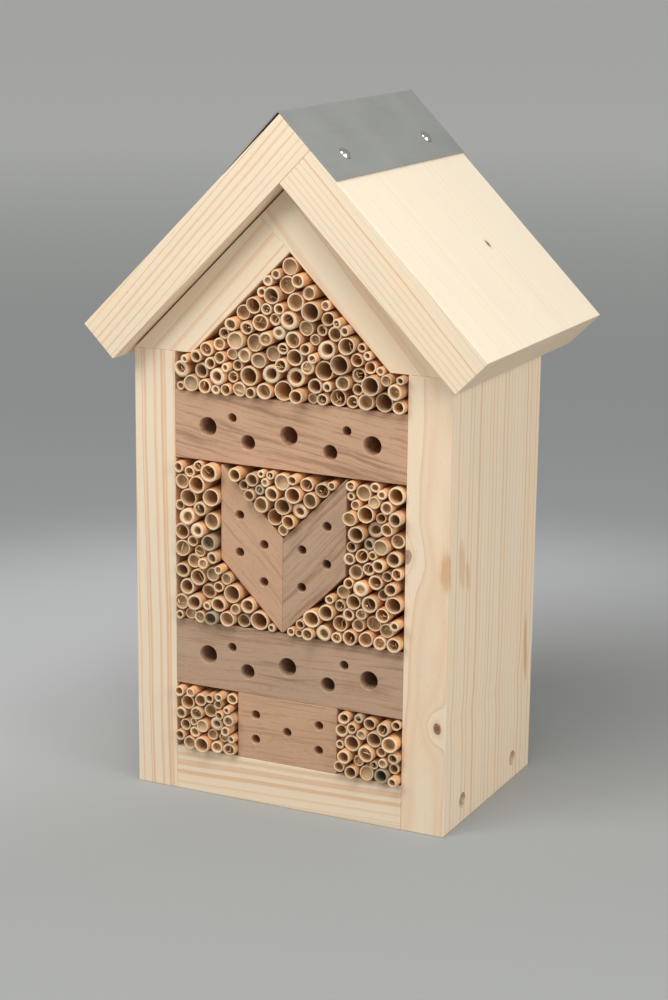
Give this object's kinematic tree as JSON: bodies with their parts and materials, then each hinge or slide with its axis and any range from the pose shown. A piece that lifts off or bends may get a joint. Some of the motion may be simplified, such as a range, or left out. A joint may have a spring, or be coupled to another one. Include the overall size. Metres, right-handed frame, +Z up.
{
  "type": "insect hotel",
  "caption": "Gabled insect hotel: spruce board house with drilled hardwood blocks, bundles of cut reed, two roof boards and a folded metal ridge cap.",
  "frame": {"origin": "on the ground, under the middle of the roof", "axes": "+Z up, the front with the reeds and bores faces -Y, +X is the right-hand wall seen from the front"},
  "size_m": [0.226, 0.158, 0.366],
  "materials": {
    "planed_spruce": "planed, untreated",
    "pink_hardwood": "sawn, untreated",
    "grey_hardwood": "sawn, untreated",
    "cut_reed": "natural, dry",
    "galvanised_sheet": "satin, zinc coated",
    "bright_steel": "polished",
    "zinc_screws": "zinc plated",
    "spruce_plywood": "sanded, untreated"
  },
  "bodies": {
    "root": {"back_panel": "spruce_plywood", "back_panel_screws": "zinc_screws", "base_board": "planed_spruce", "chevron_reeds": "cut_reed", "gable_apex_screws": "zinc_screws", "gable_foot_screws": "zinc_screws", "gable_reeds": "cut_reed", "hanger_plate": "galvanised_sheet", "hanger_screws": "zinc_screws", "left_chevron_block": "pink_hardwood", "left_gable_board": "planed_spruce", "left_reeds": "cut_reed", "left_roof_board": "planed_spruce", "left_wall": "planed_spruce", "lower_beam": "grey_hardwood", "lower_left_reeds": "cut_reed", "lower_right_reeds": "cut_reed", "middle_block": "pink_hardwood", "ridge_cap": "galvanised_sheet", "ridge_cap_nails": "bright_steel", "ridge_screws": "zinc_screws", "right_chevron_block": "grey_hardwood", "right_gable_board": "planed_spruce", "right_reeds": "cut_reed", "right_roof_board": "planed_spruce", "right_wall": "planed_spruce", "roof_screws": "zinc_screws", "upper_beam": "pink_hardwood", "wall_screws": "zinc_screws"}
  },
  "joints": []
}
